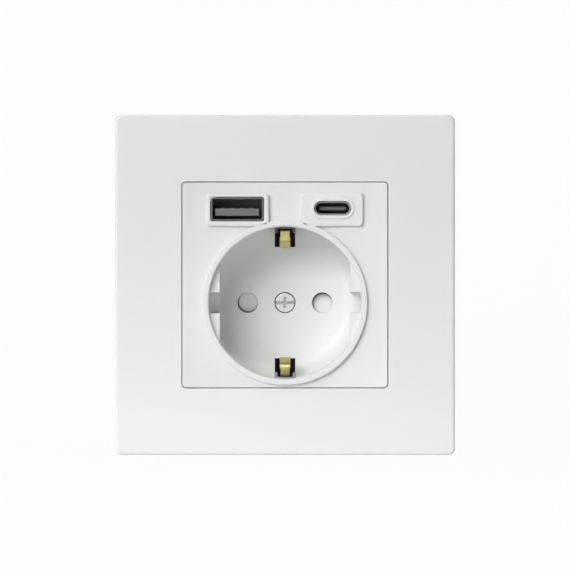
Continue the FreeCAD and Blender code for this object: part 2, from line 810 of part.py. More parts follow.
def make_terminal(x):
    half = terminal_width / 2
    body = block((x - half, x + half), (terminal_y, terminal_back_y), (terminal_bottom_z, terminal_top_z))
    along = [e for e in body.Edges if e.BoundBox.YMax - e.BoundBox.YMin > terminal_length / 2]
    body = body.makeFillet(terminal_round, along)
    wire_way = rod(x, terminal_z, wire_radius, terminal_y - 1, terminal_back_y + 1)
    thread = Part.makeCylinder(
        terminal_screw_radius + terminal_screw_clearance, terminal_height / 2 + 1,
        Vector(x, terminal_screw_y, terminal_bottom_z - 1), Vector(0, 0, 1),
    )
    return body.cut(wire_way).cut(thread)


def make_terminal_screw(x):
    """Backed off, so that its tip leaves the wire way free."""
    tip_z = terminal_z - wire_radius - terminal_screw_tip_gap
    head_z = tip_z - terminal_screw_length
    axis = Vector(0, 0, -1)
    shank = Part.makeCylinder(
        terminal_screw_radius, terminal_screw_length, Vector(x, terminal_screw_y, tip_z), axis
    )
    head = Part.makeCylinder(
        terminal_screw_head_radius, terminal_screw_head_height, Vector(x, terminal_screw_y, head_z), axis
    )
    low_z = head_z - terminal_screw_head_height
    slot = block(
        (x - terminal_screw_head_radius - 1, x + terminal_screw_head_radius + 1),
        (terminal_screw_y - screw_slot_width / 2, terminal_screw_y + screw_slot_width / 2),
        (low_z - 1, low_z + screw_slot_depth),
    )
    return shank.fuse(head).cut(slot).removeSplitter()


# Support ring, claws and screws.
def body_outline(y_start, y_end, inset):
    """The body's plan: a disc with flat sides and a flat bottom, as a bar along Y."""
    half = body_half_width - inset
    bottom = body_bottom_z + (body_bottom_wall if inset else 0)
    disc = rod(0, 0, body_radius - inset, y_start, y_end)
    return disc.common(block((-half, half), (y_start, y_end), (bottom, body_radius + 1)))


def make_support_ring():
    ring = rounded_bar(0, 0, ring_side, ring_side, ring_corner, ring_front_y, wall_y)
    centre_way = body_outline(ring_front_y - 1, wall_y + 1, body_wall)
    top_z = usb_a_z + usb_a_height / 2 + port_clearance
    below_top = block((-ring_side, ring_side), (ring_front_y - 2, wall_y + 2), (-ring_side, top_z))
    port_half = abs(usb_a_x) + usb_a_width / 2 + port_clearance
    port_low_z = usb_a_z - usb_a_height / 2 - port_clearance
    port_way = block((-port_half, port_half), (ring_front_y - 1, wall_y + 1), (port_low_z, top_z))
    ring = ring.cut(centre_way.common(below_top).fuse(port_way))
    for side in (1, -1):
        z = side * box_screw_pitch / 2
        slot = rounded_bar(
            0, z, 2 * box_slot_radius, box_slot_length, box_slot_radius, ring_front_y - 1, wall_y + 1
        )
        ring = ring.cut(slot)
    for x, z in column_places():
        tab = rod(x, z, column_radius, ring_front_y, wall_y)
        ring = ring.fuse(tab).cut(
            rod(x, z, small_screw_radius + small_screw_clearance, ring_front_y - 1, wall_y + 1)
        )
    ring = ring.fuse([make_claw_ear(side, edge) for side in (1, -1) for edge in (1, -1)])
    for side in (1, -1):
        low = Vector(side * claw_pivot_x, claw_pivot_y, claw_z - 2 * claw_width)
        pin_hole = Part.makeCylinder(claw_pin_radius, 4 * claw_width, low)
        collar_end = wall_y + claw_collar_length
        collar = rod(side * claw_screw_x, claw_z, claw_collar_radius, ring_front_y, collar_end)
        way_radius = claw_screw_radius + claw_screw_clearance
        way = rod(side * claw_screw_x, claw_z, way_radius, ring_front_y - 1, collar_end + 1)
        ring = ring.cut(pin_hole).fuse(collar).cut(way)
    return ring.removeSplitter()


def make_claw_ear(side, edge):
    """One of the four ears, bent up from the ring, that carry the claws' pins."""
    inner_z = claw_width / 2 + ear_gap
    z_range = (claw_z + edge * inner_z, claw_z + edge * (inner_z + ear_sheet))
    x_range = (side * (claw_pivot_x - ear_inner), side * (claw_pivot_x + ear_outer))
    tip_y = claw_pivot_y + ear_tip
    ear = block(x_range, (ring_front_y, tip_y), z_range)
    across = [e for e in edges_at(ear, tip_y) if e.BoundBox.ZMax - e.BoundBox.ZMin > ear_sheet / 2]
    return ear.makeFillet(ear_round, across)


def make_small_screw(x, z, head_y, into_wall):
    """A pan-head screw along Y. head_y is the face that its head bears on."""
    sign = 1 if into_wall else -1
    head_end = head_y - sign * small_screw_head_height
    tip_y = head_y + sign * small_screw_length
    head = rod(x, z, small_screw_head_radius, min(head_y, head_end), max(head_y, head_end))
    head = head.makeFillet(small_screw_head_round, edges_at(head, head_end))
    shank = rod(x, z, small_screw_radius, min(head_y, tip_y), max(head_y, tip_y))
    half = small_screw_cross_width / 2
    arm = small_screw_cross_length / 2
    cut_y = (head_end - sign, head_end + sign * small_screw_cross_depth)
    level = block((x - arm, x + arm), cut_y, (z - half, z + half))
    upright = block((x - half, x + half), cut_y, (z - arm, z + arm))
    return head.fuse(shank).cut(level.fuse(upright)).removeSplitter()


def make_claw():
    """The right-hand claw, folded against the body: knuckle, heel under the screw tip, toothed arm."""
    low_z = claw_z - claw_width / 2
    z_range = (low_z, low_z + claw_width)
    knuckle = Part.makeCylinder(claw_knuckle_radius, claw_width, Vector(claw_pivot_x, claw_pivot_y, low_z))
    heel_x = (claw_screw_x - claw_screw_tip_radius - claw_heel_overhang, claw_pivot_x)
    heel = block(heel_x, (claw_y, claw_y + claw_sheet), z_range)
    arm_outer = claw_pivot_x + claw_knuckle_radius * 0.9
    arm_inner = arm_outer - claw_sheet
    arm_end = claw_pivot_y + claw_length
    arm = block((arm_inner, arm_outer), (claw_pivot_y, arm_end), z_range)
    tooth_points = [
        Vector(arm_inner, arm_end - claw_tooth_length, low_z),
        Vector(arm_outer, arm_end - claw_tooth_length, low_z),
        Vector(arm_outer + claw_tooth, arm_end, low_z),
        Vector(arm_inner, arm_end, low_z),
    ]
    teeth = Part.Face(Part.makePolygon(tooth_points + tooth_points[:1])).extrude(Vector(0, 0, claw_width))
    claw = knuckle.fuse([heel, arm, teeth])
    notch_width = claw_width / claw_notch_count
    for index in range(claw_notch_count):
        left_z = low_z + index * notch_width
        notch = [
            Vector(claw_screw_x, arm_end, left_z),
            Vector(claw_screw_x, arm_end, left_z + notch_width),
            Vector(claw_screw_x, arm_end - claw_notch_depth, left_z + notch_width / 2),
        ]
        claw = claw.cut(Part.Face(Part.makePolygon(notch + notch[:1])).extrude(Vector(2 * claw_width, 0, 0)))
    bore_low = Vector(claw_pivot_x, claw_pivot_y, low_z - 1)
    bore = Part.makeCylinder(claw_pin_radius + claw_pin_clearance, claw_width + 2, bore_low)
    return claw.cut(bore).removeSplitter()


def make_claw_pin():
    half = claw_width / 2 + ear_gap + ear_sheet + claw_pin_overhang
    return Part.makeCylinder(claw_pin_radius, 2 * half, Vector(claw_pivot_x, claw_pivot_y, claw_z - half))


def make_claw_screw():
    tip_y = claw_y - heel_gap
    dog_y = tip_y - claw_screw_tip_length
    head_y = claw_screw_head_y
    head = rod(claw_screw_x, claw_z, claw_screw_head_radius, head_y, claw_screw_seat_y)
    head = head.makeFillet(claw_screw_head_round, edges_at(head, head_y))
    shank = rod(claw_screw_x, claw_z, claw_screw_radius, claw_screw_seat_y, dog_y)
    dog = rod(claw_screw_x, claw_z, claw_screw_tip_radius, dog_y, tip_y)
    half = screw_slot_width / 2
    slot_z = (claw_z - 2 * claw_screw_head_radius, claw_z + 2 * claw_screw_head_radius)
    slot_y = (head_y - 1, head_y + screw_slot_depth)
    slot = block((claw_screw_x - half, claw_screw_x + half), slot_y, slot_z)
    return head.fuse([shank, dog]).cut(slot).removeSplitter()


# Body housing and rear cover.
def make_body_housing():
    shell = body_outline(wall_y, body_back_y, 0)
    inside = body_outline(wall_y - 1, body_back_y + 1, body_wall)
    shell = shell.cut(inside)
    deck = body_outline(deck_y, deck_back_y, body_wall)
    deck = deck.common(block((-body_radius, body_radius), (deck_y, deck_back_y), (-body_radius, deck_top_z)))
    partition = block(
        (-body_half_width + body_wall / 2, body_half_width - body_wall / 2),
        (deck_y, power_board_y), (partition_z, deck_top_z),
    )
    added = [deck, partition]
    for x, z in column_places():
        column = rod(x, z, column_radius, wall_y, body_back_y)
        added.append(column.common(body_outline(wall_y, body_back_y, 0)))
    half = terminal_width / 2
    for x in terminal_places:
        shelf_z = (terminal_bottom_z, terminal_top_z)
        added.append(block((x - half, x + half), (deck_y, terminal_y), shelf_z))
    for side in (1, -1):
        added.append(rod(side * post_x, post_z, post_radius, usb_board_back_y, deck_back_y))
    body = shell.fuse(added)
    for x in (-pin_x, pin_x):
        body = body.cut(rod(x, recess_z, pin_hole_radius + fit_gap, deck_y - 1, deck_back_y + 1))
    body = body.cut(rod(0, recess_z, strap_boss_radius + fit_gap, deck_y - 1, deck_back_y + 1))
    tab_half = terminal_width / 2 - tab_inset + fit_gap / 2
    tab_z = (terminal_top_z, terminal_top_z + strap_thickness + fit_gap / 2)
    body = body.cut(block((-tab_half, tab_half), (deck_y - 1, deck_back_y + 1), tab_z))
    pilot = small_screw_radius + small_screw_clearance
    pilot_length = small_screw_length + pilot_spare
    for x, z in column_places():
        body = body.cut(rod(x, z, pilot, wall_y - 1, wall_y + pilot_length))
        body = body.cut(rod(x, z, pilot, body_back_y - pilot_length, body_back_y + 1))
    way_radius = terminal_screw_head_radius + terminal_screw_way_gap
    for x in terminal_places:
        start = Vector(x, terminal_screw_y, terminal_bottom_z - terminal_screw_way_gap)
        body = body.cut(Part.makeCylinder(way_radius, body_radius, start, Vector(0, 0, -1)))
    for side in (1, -1):
        collar_way = claw_collar_radius + fit_gap / 2
        way_end = wall_y + claw_collar_length + fit_gap
        body = body.cut(rod(side * claw_screw_x, claw_z, collar_way, wall_y - 1, way_end))
    return body.removeSplitter()


def make_rear_cover():
    cover = body_outline(body_back_y, cover_back_y, 0)
    cover = cover.makeFillet(cover_edge_round, edges_at(cover, cover_back_y))
    for x in terminal_places:
        cover = cover.cut(rod(x, terminal_z, wire_entry_radius, body_back_y - 1, cover_back_y + 1))
    for x, z in column_places():
        cover = cover.cut(rod(x, z, small_screw_radius + small_screw_clearance, body_back_y - 1, cover_back_y + 1))
    return cover.removeSplitter()


# Charging ports.
def make_usb_a_shell():
    """A folded steel sleeve that stops at the wall plane, with two latch windows above and below."""
    shell = rounded_bar(usb_a_x, usb_a_z, usb_a_width, usb_a_height, usb_a_sheet * 1.5, usb_a_front_y, wall_y)
    mouth = rounded_bar(
        usb_a_x, usb_a_z, usb_a_mouth_width, usb_a_mouth_height, usb_a_sheet / 2, usb_a_front_y - 1, wall_y + 1
    )
    shell = shell.cut(mouth)
    window_y = usb_a_front_y + usb_a_latch_depth
    for x in (usb_a_x - usb_a_latch_x, usb_a_x + usb_a_latch_x):
        x_range = (x - usb_a_latch_width / 2, x + usb_a_latch_width / 2)
        z_range = (usb_a_z - usb_a_height, usb_a_z + usb_a_height)
        shell = shell.cut(block(x_range, (window_y, window_y + usb_a_latch_length), z_range))
    return shell


def make_usb_a_insulator():
    """Tongue and rear block in one moulding, with two pegs that locate it in the board."""
    width = usb_a_mouth_width - 2 * insulator_clearance
    height = usb_a_mouth_height - 2 * insulator_clearance
    block_y = wall_y - usb_a_block_depth
    rear = rounded_bar(usb_a_x, usb_a_z, width, height, usb_a_sheet / 2, block_y, wall_y)
    low = usb_a_z - usb_a_mouth_height / 2 + usb_a_tongue_gap
    half = usb_a_tongue_width / 2
    tongue_y = usb_a_front_y + usb_a_tongue_setback
    tongue = block((usb_a_x - half, usb_a_x + half), (tongue_y, wall_y), (low, low + usb_a_tongue_thickness))
    tongue = tongue.makeFillet(usb_a_sheet / 2, edges_at(tongue, tongue_y))
    pegs = [rod(x, usb_a_z, usb_a_peg_radius, block_y, usb_board_back_y) for x in usb_a_peg_places()]
    return rear.fuse([tongue] + pegs).removeSplitter()


def usb_a_peg_places():
    return (usb_a_x - usb_a_peg_x, usb_a_x + usb_a_peg_x)


def make_usb_a_contacts():
    top = usb_a_z - usb_a_mouth_height / 2 + usb_a_tongue_gap + usb_a_tongue_thickness
    half = usb_a_contact_width / 2
    front = usb_a_front_y + usb_a_tongue_setback + usb_a_contact_setback
    strips = []
    for step in (-1.5, -0.5, 0.5, 1.5):
        x = usb_a_x + step * usb_a_contact_pitch
        strips.append(block((x - half, x + half), (front, wall_y - usb_a_block_depth), (top, top + contact_strip)))
    return Part.makeCompound(strips)


def stadium_bar(x, z, width, height, y_start, y_end):
    """A bar along Y with a section that is round at both ends."""
    outline = rounded_outline(x, z, width, height, height / 2, y_start)
    return outline.extrude(Vector(0, y_end - y_start, 0))


def make_usb_c_shell():
    """A drawn stadium sleeve that stands on the board."""
    shell = stadium_bar(usb_c_x, usb_c_z, usb_c_width, usb_c_height, usb_c_front_y, usb_board_y)
    mouth = stadium_bar(
        usb_c_x, usb_c_z, usb_c_mouth_width, usb_c_mouth_height, usb_c_front_y - 1, usb_board_y + 1
    )
    return shell.cut(mouth)


def make_usb_c_insulator():
    width = usb_c_mouth_width - 2 * insulator_clearance
    height = usb_c_mouth_height - 2 * insulator_clearance
    rear = stadium_bar(usb_c_x, usb_c_z, width, height, usb_board_y - usb_c_block_depth, usb_board_y)
    half_width = usb_c_tongue_width / 2
    half = usb_c_tongue_thickness / 2
    front = usb_c_front_y + usb_c_tongue_setback
    z_range = (usb_c_z - half, usb_c_z + half)
    tongue = block((usb_c_x - half_width, usb_c_x + half_width), (front, usb_board_y), z_range)
    return rear.fuse(tongue).removeSplitter()


def make_usb_c_contacts():
    strips = []
    inner = usb_c_tongue_thickness / 2
    half = usb_c_contact_width / 2
    y_range = (usb_c_front_y + usb_c_tongue_setback + usb_c_contact_setback, usb_board_y - usb_c_block_depth)
    for side in (1, -1):
        z_range = (usb_c_z + side * inner, usb_c_z + side * (inner + contact_strip))
        for index in range(usb_c_contact_count):
            x = usb_c_x + (index - (usb_c_contact_count - 1) / 2) * usb_c_contact_pitch
            strips.append(block((x - half, x + half), y_range, z_range))
    return Part.makeCompound(strips)


# Charger electronics.
def link_pin_places():
    start = -(link_pin_count - 1) / 2 * link_pin_pitch
    return [start + index * link_pin_pitch for index in range(link_pin_count)]


def cut_link_holes(board, y_start, y_end):
    half = link_pin_side / 2 + link_pin_clearance
    for x in link_pin_places():
        board = board.cut(block(
            (x - half, x + half), (y_start - 1, y_end + 1), (link_pin_z - half, link_pin_z + half)
        ))
    return board


def make_usb_board():
    board = body_outline(usb_board_y, usb_board_back_y, body_wall + board_gap)
    low_z = upper_column[1] + column_radius + board_gap
    keep = block((-body_radius, body_radius), (usb_board_y, usb_board_back_y), (low_z, body_radius))
    board = board.common(keep)
    board = board.cut(rod(0, recess_z, rim_radius + 2 * board_gap, usb_board_y - 1, usb_board_back_y + 1))
    for x in usb_a_peg_places():
        peg_way = usb_a_peg_radius + thread_clearance
        board = board.cut(rod(x, usb_a_z, peg_way, usb_board_y - 1, usb_board_back_y + 1))
    return cut_link_holes(board, usb_board_y, usb_board_back_y)


def make_power_board():
    board = body_outline(power_board_y, power_board_back_y, body_wall + board_gap)
    keep = block(
        (-body_radius, body_radius), (power_board_y, power_board_back_y),
        (power_board_bottom_z, power_board_top_z),
    )
    board = board.common(keep)
    for side in (1, -1):
        board = board.cut(rod(
            side * upper_column[0], upper_column[1], column_radius + board_gap,
            power_board_y - 1, power_board_back_y + 1,
        ))
    return cut_link_holes(board, power_board_y, power_board_back_y)


def make_link_pins():
    half = link_pin_side / 2
    pin_y = (usb_board_y - link_pin_stub, power_board_back_y + link_pin_stub)
    pins = []
    for x in link_pin_places():
        pins.append(block((x - half, x + half), pin_y, (link_pin_z - half, link_pin_z + half)))
    return Part.makeCompound(pins)


def make_transformer_core():
    """A ferrite frame with a middle leg along Y, standing on the power board."""
    half_width = core_width / 2
    half_height = core_height / 2
    front_y = power_board_y - core_depth
    core = block((-half_width, half_width), (front_y, power_board_y), (core_z - half_height, core_z + half_height))
    window_y = (front_y + core_yoke, power_board_y - core_yoke)
    window_z = (core_z - core_height, core_z + core_height)
    for side in (1, -1):
        window_x = (side * core_leg / 2, side * (half_width - core_leg / 2))
        core = core.cut(block(window_x, window_y, window_z))
    return core


def make_transformer_winding():
    """Bobbin and taped winding round the middle leg of the core."""
    start_y = power_board_y - core_depth + core_yoke + winding_gap
    end_y = power_board_y - core_yoke - winding_gap
    width = core_width - core_leg - 2 * winding_gap
    winding = rounded_bar(0, core_z, width, winding_height, winding_round, start_y, end_y)
    half_x = core_leg / 2 + winding_gap
    half_z = core_height / 2 + winding_gap
    return winding.cut(block((-half_x, half_x), (start_y - 1, end_y + 1), (core_z - half_z, core_z + half_z)))


def make_can(x, length):
    """An electrolytic can standing on the power board, with a rolled groove near its base."""
    front_y = power_board_y - length
    can = rod(x, can_z, can_radius, front_y, power_board_y)
    can = can.makeFillet(can_round, edges_at(can, front_y))
    groove_y = (power_board_y - can_groove[1], power_board_y - can_groove[0])
    groove = rod(x, can_z, can_radius + 1, *groove_y)
    groove = groove.cut(rod(x, can_z, can_radius - can_groove_depth, *groove_y))
    return can.cut(groove)


def make_fuse():
    """A tube fuse with its end caps and the two legs that carry it above the board."""
    axis = Vector(1, 0, 0)
    y = power_board_y - fuse_height
    start = fuse_x - fuse_length / 2
    parts = [Part.makeCylinder(fuse_radius, fuse_length, Vector(start, y, fuse_z), axis)]
    half_leg = fuse_leg / 2
    for x in (start, start + fuse_length - fuse_cap_length):
        parts.append(Part.makeCylinder(fuse_cap_radius, fuse_cap_length, Vector(x, y, fuse_z), axis))
        middle = x + fuse_cap_length / 2
        leg_z = (fuse_z - half_leg, fuse_z + half_leg)
        parts.append(block((middle - half_leg, middle + half_leg), (y, power_board_y), leg_z))
    return parts[0].fuse(parts[1:]).removeSplitter()


def make_safety_capacitor():
    width, depth, height = safety_capacitor_size
    front_y = power_board_y - depth
    body = rounded_bar(
        safety_capacitor_x, safety_capacitor_z, width, height, safety_capacitor_round, front_y, power_board_y
    )
    return body.makeFillet(safety_capacitor_round / 2, edges_at(body, front_y))


def make_rectifier():
    width, depth, height = rectifier_size
    return rounded_bar(
        rectifier_x, rectifier_z, width, height, rectifier_round, power_board_y - depth, power_board_y
    )


def make_control_chip():
    width, depth, height = chip_size
    return rounded_bar(chip_x, chip_z, width, height, chip_round, power_board_back_y, power_board_back_y + depth)


def build():
    """All pieces by name."""
    pieces = {
        "cover_frame": make_cover_frame(),
        "centre_plate": make_centre_plate(),
        "centre_screw": make_centre_screw(),
        "shutter": make_shutter(),
        "shutter_spring": make_shutter_spring(),
        "shutter_cage": make_shutter_cage(),
        "earth_strap": make_earth_strap(),
        "earth_guard_top": make_earth_guard(),
        "earth_guard_bottom": turned_half(make_earth_guard()),
        "neutral_contact": make_pin_contact(),
        "live_contact": mirrored(make_pin_contact()),
        "support_ring": make_support_ring(),
        "claw_right": make_claw(),
        "claw_left": mirrored(make_claw()),
        "claw_pin_right": make_claw_pin(),
        "claw_pin_left": mirrored(make_claw_pin()),
        "claw_screw_right": make_claw_screw(),
        "claw_screw_left": mirrored(make_claw_screw()),
        "body_housing": make_body_housing(),
        "rear_cover": make_rear_cover(),
        "usb_a_shell": make_usb_a_shell(),
        "usb_a_insulator": make_usb_a_insulator(),
        "usb_a_contacts": make_usb_a_contacts(),
        "usb_c_shell": make_usb_c_shell(),
        "usb_c_insulator": make_usb_c_insulator(),
        "usb_c_contacts": make_usb_c_contacts(),
        "usb_board": make_usb_board(),
        "power_board": make_power_board(),
        "link_pins": make_link_pins(),
        "transformer_core": make_transformer_core(),
        "transformer_winding": make_transformer_winding(),
        "input_capacitor": make_can(-can_x, input_can_length),
        "output_capacitor": make_can(can_x, output_can_length),
        "fuse": make_fuse(),
        "safety_capacitor": make_safety_capacitor(),
        "rectifier": make_rectifier(),
        "control_chip": make_control_chip(),
    }
    for name, x in zip(("live", "earth", "neutral"), terminal_places):
        pieces["terminal_" + name] = make_terminal(x)
        pieces["terminal_screw_" + name] = make_terminal_screw(x)
    pieces["ring_screws"] = Part.makeCompound(
        [make_small_screw(x, z, ring_front_y, True) for x, z in column_places()]
    )
    pieces["rear_cover_screws"] = Part.makeCompound(
        [make_small_screw(x, z, cover_back_y, False) for x, z in column_places()]
    )
    return pieces


os.makedirs("parts", exist_ok=True)
for name, shape in build().items():
    shape.exportStep("parts/" + name + ".step")
    print(name, len(shape.Solids), shape.isValid(), round(shape.Volume, 2))
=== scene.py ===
import json
import math

import bmesh
import bpy
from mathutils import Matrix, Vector

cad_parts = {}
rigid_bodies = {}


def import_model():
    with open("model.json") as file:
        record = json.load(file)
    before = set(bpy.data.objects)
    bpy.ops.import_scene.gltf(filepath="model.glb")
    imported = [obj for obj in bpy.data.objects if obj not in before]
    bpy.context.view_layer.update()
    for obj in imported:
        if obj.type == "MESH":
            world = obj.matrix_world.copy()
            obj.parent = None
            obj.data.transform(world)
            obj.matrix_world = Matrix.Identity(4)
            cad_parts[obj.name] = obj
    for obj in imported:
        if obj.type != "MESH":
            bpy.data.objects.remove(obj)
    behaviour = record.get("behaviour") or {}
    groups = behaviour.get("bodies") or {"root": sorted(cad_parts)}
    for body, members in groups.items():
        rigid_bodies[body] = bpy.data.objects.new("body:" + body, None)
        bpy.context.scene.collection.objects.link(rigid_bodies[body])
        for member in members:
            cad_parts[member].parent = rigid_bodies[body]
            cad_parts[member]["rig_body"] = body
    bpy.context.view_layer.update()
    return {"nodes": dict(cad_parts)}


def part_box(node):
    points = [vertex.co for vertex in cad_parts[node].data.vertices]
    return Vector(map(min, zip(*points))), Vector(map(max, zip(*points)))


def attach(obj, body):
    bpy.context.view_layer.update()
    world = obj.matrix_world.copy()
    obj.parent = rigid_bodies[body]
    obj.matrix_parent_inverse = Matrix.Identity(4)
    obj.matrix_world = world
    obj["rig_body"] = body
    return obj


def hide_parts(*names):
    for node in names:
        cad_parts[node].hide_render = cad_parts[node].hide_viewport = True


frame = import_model()
nodes = frame["nodes"]
mm = 0.001
recessZ = -4.5 * mm  # the middle of the plug recess, a little below the part's own
print("frame loaded:", len(nodes), "nodes")

# The camera looks straight at the front from far away, so the square frame stays square
camera = {
    "distance": 2000 * mm,  # from the plane of the wall
    "fieldWidth": 144.2 * mm,  # what the picture takes in at the front face
    "frontDepth": 10 * mm,
    "sensor": 36.0,
    "clip": (0.1, 20),
}
cameraData = bpy.data.cameras.new("camera")
cameraData.sensor_width = camera["sensor"]
frontDistance = camera["distance"] - camera["frontDepth"]
cameraData.lens = camera["sensor"] * frontDistance / camera["fieldWidth"]
cameraData.clip_start, cameraData.clip_end = camera["clip"]
cameraObject = bpy.data.objects.new("camera", cameraData)
bpy.context.scene.collection.objects.link(cameraObject)
cameraObject.location = (0, -camera["distance"], 0)
cameraObject.rotation_euler = (math.radians(90), 0, 0)
bpy.context.scene.camera = cameraObject
bpy.context.scene.view_settings.view_transform = "Standard"
print("camera set")


# Small helpers for shader nodes

def newMaterial(name):
    material = bpy.data.materials.new(name)
    material.use_nodes = True
    tree = material.node_tree
    return material, tree, tree.nodes["Principled BSDF"]


def objectCoordinates(tree):
    return tree.nodes.new("ShaderNodeTexCoord").outputs["Object"]


def noiseNode(tree, vector, size, detail, roughness):
    noise = tree.nodes.new("ShaderNodeTexNoise")
    noise.inputs["Scale"].default_value = 1 / size
    noise.inputs["Detail"].default_value = detail
    noise.inputs["Roughness"].default_value = roughness
    tree.links.new(vector, noise.inputs["Vector"])
    return noise.outputs["Fac"]


def rampNode(tree, factor, stops):
    ramp = tree.nodes.new("ShaderNodeValToRGB")
    for element, (place, colour) in zip(ramp.color_ramp.elements, stops):
        element.position = place
        element.color = (*colour, 1)
    tree.links.new(factor, ramp.inputs["Fac"])
    return ramp.outputs["Color"]


def rangeNode(tree, value, toLow, toHigh, fromLow=0.0, fromHigh=1.0, smooth=False):
    span = tree.nodes.new("ShaderNodeMapRange")
    if smooth:
        span.interpolation_type = "SMOOTHSTEP"
    limits = {"From Min": fromLow, "From Max": fromHigh, "To Min": toLow, "To Max": toHigh}
    for name, limit in limits.items():
        span.inputs[name].default_value = limit
    tree.links.new(value, span.inputs["Value"])
    return span.outputs["Result"]


def bumpNode(tree, height, strength, distance):
    bump = tree.nodes.new("ShaderNodeBump")
    bump.inputs["Strength"].default_value = strength
    bump.inputs["Distance"].default_value = distance
    tree.links.new(height, bump.inputs["Height"])
    return bump


def mathNode(tree, operation, *values):
    node = tree.nodes.new("ShaderNodeMath")
    node.operation = operation
    for socket, value in zip(node.inputs, values):
        if isinstance(value, (int, float)):
            socket.default_value = value
        else:
            tree.links.new(value, socket)
    return node.outputs[0]


def vectorNode(tree, operation, first, second=None, scale=None):
    node = tree.nodes.new("ShaderNodeVectorMath")
    node.operation = operation
    tree.links.new(first, node.inputs[0])
    if second is not None:
        tree.links.new(second, node.inputs[1])
    if scale is not None:
        tree.links.new(scale, node.inputs["Scale"])
    return node.outputs[0]


def splitCoordinates(tree, coordinates):
    apart = tree.nodes.new("ShaderNodeSeparateXYZ")
    tree.links.new(coordinates, apart.inputs[0])
    return apart.outputs


def lengthOf(tree, across, up):
    acrossSquare = mathNode(tree, "MULTIPLY", across, across)
    upSquare = mathNode(tree, "MULTIPLY", up, up)
    return mathNode(tree, "SQRT", mathNode(tree, "ADD", acrossSquare, upSquare))


# Edges catch the light as if they were rounded by a radius, which may differ on the port collars
edgeSamples = 6
collarEdge = {"from": 14.5 * mm, "to": 16.5 * mm, "radius": 0.3 * mm}


def softEdges(tree, coordinates, radius, collar=None):
    soft = tree.nodes.new("ShaderNodeBevel")
    soft.samples = edgeSamples
    soft.inputs["Radius"].default_value = radius
    if collar:
        height = splitCoordinates(tree, coordinates)["Z"]
        grown = rangeNode(tree, height, radius, collar["radius"], collar["from"], collar["to"])
        tree.links.new(grown, soft.inputs["Radius"])
    return soft.outputs["Normal"]


# Painted floor light: the white faces' colour gets lighter towards the bottom, as if lit by a pale
# floor
frameFloorLightPaint = {"top": 30 * mm, "bottom": -36 * mm, "gain": 1.13}
plateFloorLightPaint = {"top": 30 * mm, "bottom": -36 * mm, "gain": 1.075}


# Paints the floor's light into the colour: the tone is scaled up from top to bottom
def paintFloorLightByHeight(tree, coordinates, tone, floorLightPaint):
    height = splitCoordinates(tree, coordinates)["Z"]
    gain = rangeNode(tree, height, 1.0, floorLightPaint["gain"], floorLightPaint["top"], floorLightPaint["bottom"], smooth=True)
    return vectorNode(tree, "SCALE", tone, scale=gain)


# The recess floor's shading leans towards the middle, so that the floor runs softly into the fillet
recessFloor = {
    "reach": 20 * mm,
    "lean": [  # share of the reach, and how far the normal leans there
        (0.25, 0.0), (0.4, 0.03), (0.5, 0.09), (0.6, 0.17), (0.7, 0.22), (0.76, 0.12), (0.84, 0.0),
    ],
    "smallest": 1 * mm,
}


def dishedFloor(tree, coordinates, normal, dish):
    apart = splitCoordinates(tree, coordinates)
    across, up = apart["X"], mathNode(tree, "SUBTRACT", apart["Z"], recessZ)
    radius = lengthOf(tree, across, up)
    curve = tree.nodes.new("ShaderNodeFloatCurve")
    points = curve.mapping.curves[0].points
    points[0].location, points[1].location = (0, 0), (1, 0)
    for place, lean in dish["lean"]:
        points.new(place, lean)
    curve.mapping.update()
    tree.links.new(mathNode(tree, "DIVIDE", radius, dish["reach"]), curve.inputs["Value"])
    safeRadius = mathNode(tree, "MAXIMUM", radius, dish["smallest"])
    share = mathNode(tree, "DIVIDE", curve.outputs["Value"], safeRadius)
    lean = tree.nodes.new("ShaderNodeCombineXYZ")
    tree.links.new(mathNode(tree, "MULTIPLY", across, share), lean.inputs["X"])
    tree.links.new(mathNode(tree, "MULTIPLY", up, share), lean.inputs["Z"])
    leaned = vectorNode(tree, "SUBTRACT", normal, lean.outputs["Vector"])
    return vectorNode(tree, "NORMALIZE", leaned)


# Painted shade: a dark crescent in each pin hole, painted on the shutter where its ramp lies
# deepest
pinHoleShadePaint = {
    "offset": 9.5 * mm,  # of each pin hole from the middle
    "right": 0.15 * mm,  # how far the bright disc sits off the hole's axis
    "up": 0.22 * mm,
    "inner": 2.26 * mm,
    "outer": 2.66 * mm,
    "tone": 0.1,
}


def paintPinHoleShade(tree, coordinates, tone, holeShadePaint):
    apart = splitCoordinates(tree, coordinates)
    across, height = apart["X"], apart["Z"]
    side = mathNode(tree, "SIGN", across)
    hole = mathNode(tree, "MULTIPLY", side, holeShadePaint["offset"])
    rise = mathNode(tree, "MULTIPLY", side, holeShadePaint["up"])
    middle = mathNode(tree, "ADD", hole, holeShadePaint["right"])
    lower = mathNode(tree, "SUBTRACT", recessZ, rise)
    offAcross = mathNode(tree, "SUBTRACT", across, middle)
    offUp = mathNode(tree, "SUBTRACT", height, lower)
    radius = lengthOf(tree, offAcross, offUp)
    # Painted shade: the colour darkens across the crescent's ring
    ring = rangeNode(tree, radius, 1.0, holeShadePaint["tone"], holeShadePaint["inner"], holeShadePaint["outer"], smooth=True)
    return vectorNode(tree, "SCALE", tone, scale=ring)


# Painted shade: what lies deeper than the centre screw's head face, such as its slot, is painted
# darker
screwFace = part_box("centre_screw")[0][1]
screwSlotShadePaint = {"from": screwFace + 0.2 * mm, "to": screwFace + 0.5 * mm, "tone": 0.82}


def paintShadeInCuts(tree, coordinates, tone, cuts):
    depth = splitCoordinates(tree, coordinates)["Y"]
    shade = rangeNode(tree, depth, 1.0, cuts["tone"], cuts["from"], cuts["to"])
    return vectorNode(tree, "SCALE", tone, scale=shade)


# Moulded plastic: a fine even grain, a slow drift of tone, and patches that are a little glossier
plasticGrain = {
    "drift": {"size": 30 * mm, "detail": 3, "roughness": 0.5},
    "driftStops": (0.3, 0.7),
    "patches": {"size": 8 * mm, "detail": 4, "roughness": 0.6},
    "patchGloss": (0.8, 1.2),
    "fine": {"size": 0.18 * mm, "detail": 2, "roughness": 0.5},
    "depth": 0.02 * mm,
    "ior": 1.55,
}


